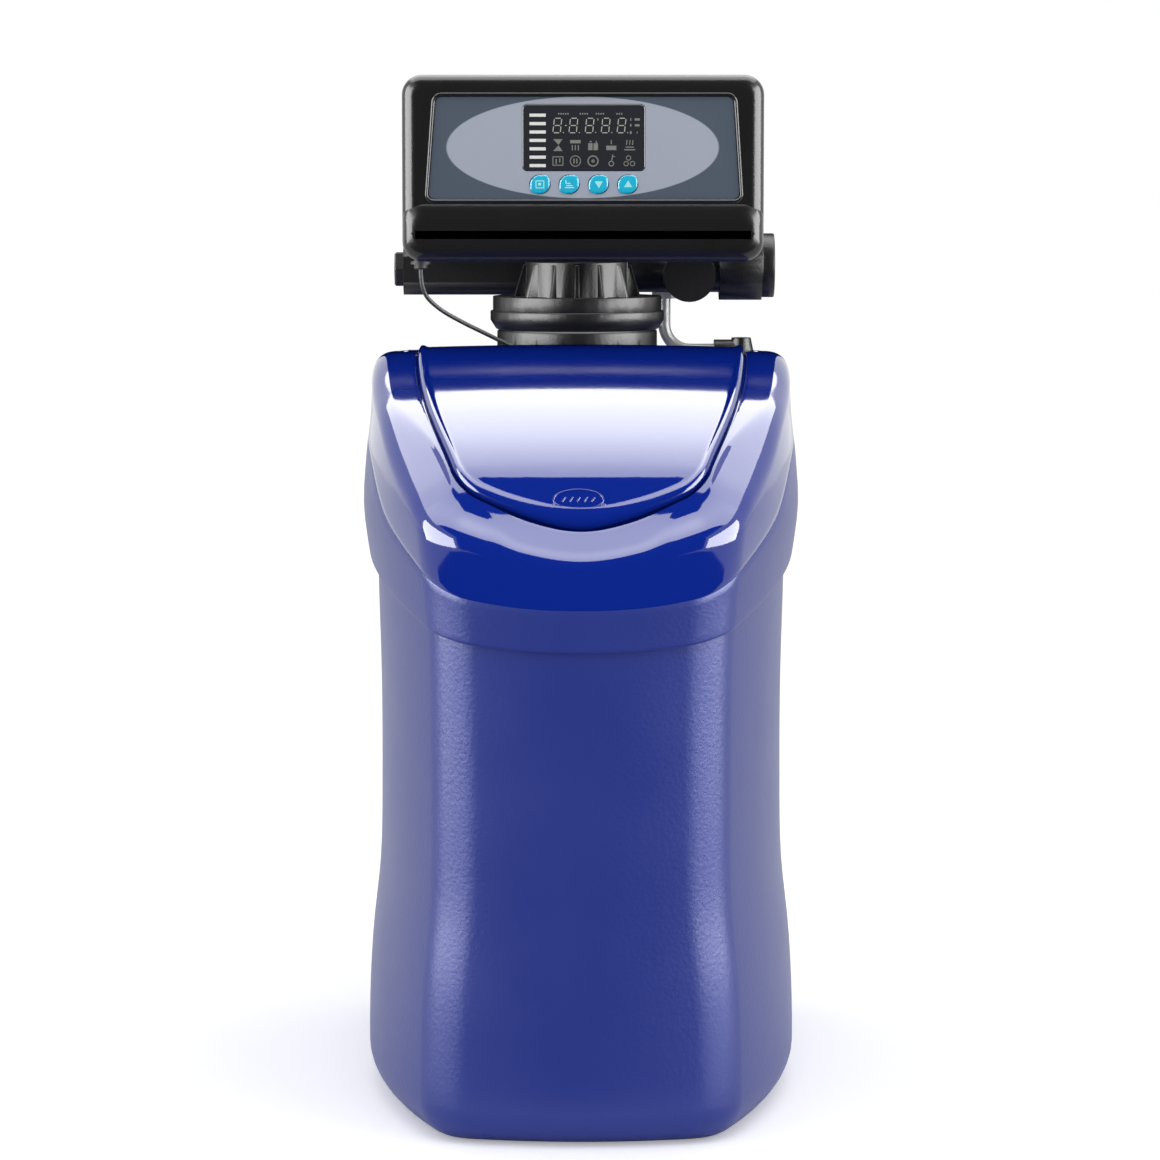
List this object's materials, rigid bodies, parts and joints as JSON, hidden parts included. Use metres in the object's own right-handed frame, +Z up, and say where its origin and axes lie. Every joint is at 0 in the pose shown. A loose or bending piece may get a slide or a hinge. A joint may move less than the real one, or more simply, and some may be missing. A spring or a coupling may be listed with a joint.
{
  "type": "water softener",
  "caption": "Compact cabinet water softener with a blue salt cabinet, hinged salt lid and a black control valve and keypad box on the resin vessel's neck.",
  "frame": {"origin": "on the floor, under the middle of the whole object", "axes": "+X to the right seen from the front, +Y to the back, +Z up"},
  "size_m": [0.2176, 0.3633, 0.502],
  "materials": {
    "cabinet_blue": "satin",
    "cover_blue": "high gloss",
    "valve_black": "satin",
    "box_black": "satin",
    "panel_slate": "satin film",
    "screen_dark": "gloss",
    "key_cyan": "gloss",
    "board_green": "solder mask",
    "rubber_black": "matte",
    "steel": "plain",
    "motor_zinc": "zinc plated",
    "ceramic": "lapped",
    "white_plastic": "moulded",
    "tube_clear": "natural, translucent",
    "vessel_wound": "wound glass fibre",
    "resin_amber": "beads",
    "cord_grey": "matte",
    "float_white": "foam"
  },
  "bodies": {
    "cabinet": {"cabinet_body": "cabinet_blue", "cabinet_cover": "cover_blue", "lower_neck_ring": "valve_black", "upper_neck_ring": "valve_black", "valve_body": "valve_black", "outlet_tail": "valve_black", "inlet_tail": "valve_black", "drain_fitting": "valve_black", "injector_cap": "valve_black", "valve_bonnet": "valve_black", "deck_elbow": "valve_black", "meter_probe": "valve_black", "box_front": "box_black", "box_rear": "box_black", "lead_connector": "box_black", "panel_sheet": "panel_slate", "display_window": "screen_dark", "circuit_board": "board_green", "display_module": "board_green", "box_gasket": "rubber_black", "deck_seal": "rubber_black", "neck_seal": "rubber_black", "lead_bush": "rubber_black", "lid_hinge_pins": "steel", "bonnet_screws": "steel", "box_screws": "steel", "board_screws": "steel", "gear_motor": "motor_zinc", "fixed_disc": "ceramic", "overflow_spigot": "white_plastic", "overflow_nut": "white_plastic", "salt_grid": "white_plastic", "brine_well": "white_plastic", "well_cap": "white_plastic", "float_valve": "white_plastic", "vessel_foot": "white_plastic", "riser_tube": "white_plastic", "lower_strainer": "white_plastic", "upper_strainer": "white_plastic", "injector_nozzle": "white_plastic", "turbine_cage": "white_plastic", "brine_nut": "white_plastic", "brine_tube": "tube_clear", "drop_tube": "tube_clear", "resin_vessel": "vessel_wound", "resin_bed": "resin_amber", "power_lead": "cord_grey"},
    "lid": {"salt_lid": "cover_blue"},
    "menu_button": {"key_menu": "key_cyan"},
    "set_button": {"key_set": "key_cyan"},
    "down_button": {"key_down": "key_cyan"},
    "up_button": {"key_up": "key_cyan"},
    "drive": {"main_gear": "white_plastic", "disc_rotor": "white_plastic", "moving_disc": "ceramic"},
    "idler": {"idler_gear": "white_plastic"},
    "pinion": {"motor_pinion": "white_plastic"},
    "turbine": {"flow_turbine": "white_plastic"},
    "float": {"float_rod": "white_plastic", "brine_float": "float_white"}
  },
  "joints": [
    {"name": "lid_hinge", "type": "hinge", "parent": "cabinet", "child": "lid", "pos_m": [0, 0.017, 0.358], "axis": [-1, 0, 0], "range_deg": [0, 60]},
    {"name": "menu_press", "type": "slide", "parent": "cabinet", "child": "menu_button", "axis": [0, 1, 0], "range_m": [0, 0.0008], "stiffness_N_per_m": 300, "springref_m": -0.001},
    {"name": "set_press", "type": "slide", "parent": "cabinet", "child": "set_button", "axis": [0, 1, 0], "range_m": [0, 0.0008], "stiffness_N_per_m": 300, "springref_m": -0.001},
    {"name": "down_press", "type": "slide", "parent": "cabinet", "child": "down_button", "axis": [0, 1, 0], "range_m": [0, 0.0008], "stiffness_N_per_m": 300, "springref_m": -0.001},
    {"name": "up_press", "type": "slide", "parent": "cabinet", "child": "up_button", "axis": [0, 1, 0], "range_m": [0, 0.0008], "stiffness_N_per_m": 300, "springref_m": -0.001},
    {"name": "drive_turn", "type": "hinge", "parent": "cabinet", "child": "drive", "pos_m": [0, 0.035, 0.454], "axis": [0, 1, 0], "continuous": true},
    {"name": "idler_turn", "type": "hinge", "parent": "cabinet", "child": "idler", "pos_m": [0.0525, 0.035, 0.454], "axis": [0, 1, 0], "continuous": true},
    {"name": "pinion_turn", "type": "hinge", "parent": "cabinet", "child": "pinion", "pos_m": [0.0662, 0.035, 0.43615], "axis": [0, 1, 0], "continuous": true},
    {"name": "turbine_spin", "type": "hinge", "parent": "cabinet", "child": "turbine", "pos_m": [0.052, 0.084, 0.405], "axis": [1, 0, 0], "continuous": true},
    {"name": "float_rise", "type": "slide", "parent": "cabinet", "child": "float", "axis": [0, 0, 1], "range_m": [0, 0.015]}
  ],
  "couplings": [
    {"joint": "idler_turn", "follows": "drive_turn", "ratio": -2.5},
    {"joint": "pinion_turn", "follows": "drive_turn", "ratio": 5}
  ]
}
